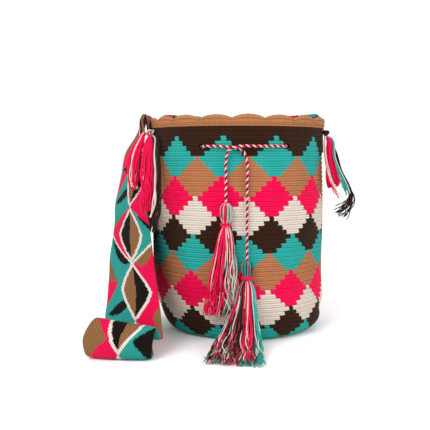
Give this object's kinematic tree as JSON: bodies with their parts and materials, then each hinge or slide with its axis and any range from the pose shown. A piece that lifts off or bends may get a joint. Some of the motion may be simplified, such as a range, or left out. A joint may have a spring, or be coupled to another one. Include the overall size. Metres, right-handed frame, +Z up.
{
  "type": "wayuu mochila bag",
  "caption": "Crocheted bucket bag with a diamond pattern, a scalloped mouth, a wide woven strap and a drawstring with yarn tassels.",
  "frame": {"origin": "on the surface the bag stands on, under the centre of its mouth", "axes": "+Z up, -Y towards the front with the tassels, -X towards the side where the strap hangs"},
  "size_m": [0.3201, 0.3168, 0.2784],
  "materials": {
    "crochet": "matt crocheted cotton yarn in brown with teal, tan, pink and cream diamonds",
    "edging": "matt crocheted cotton yarn, tan",
    "strap": "matt woven cotton in pink, teal, tan, brown and cream",
    "cord": "twisted cotton yarn in cream, pink and brown",
    "tassel": "loose cotton yarn in pink, teal, cream and brown"
  },
  "bodies": {
    "root": {"bag_body": "crochet", "scalloped_edging": "edging", "strap": "strap", "drawstring": "cord", "tassel_left": "tassel", "tassel_right": "tassel", "tassel_left_neck_wrap": "tassel", "tassel_right_neck_wrap": "tassel", "strap_knot_left": "tassel", "strap_knot_right": "tassel", "fringe_left_pink": "tassel", "fringe_left_short": "tassel", "fringe_left_white": "tassel", "fringe_left_dark": "tassel", "fringe_right_pink": "tassel", "fringe_right_white": "tassel", "fringe_right_teal": "tassel", "fringe_right_dark": "tassel"}
  },
  "joints": []
}
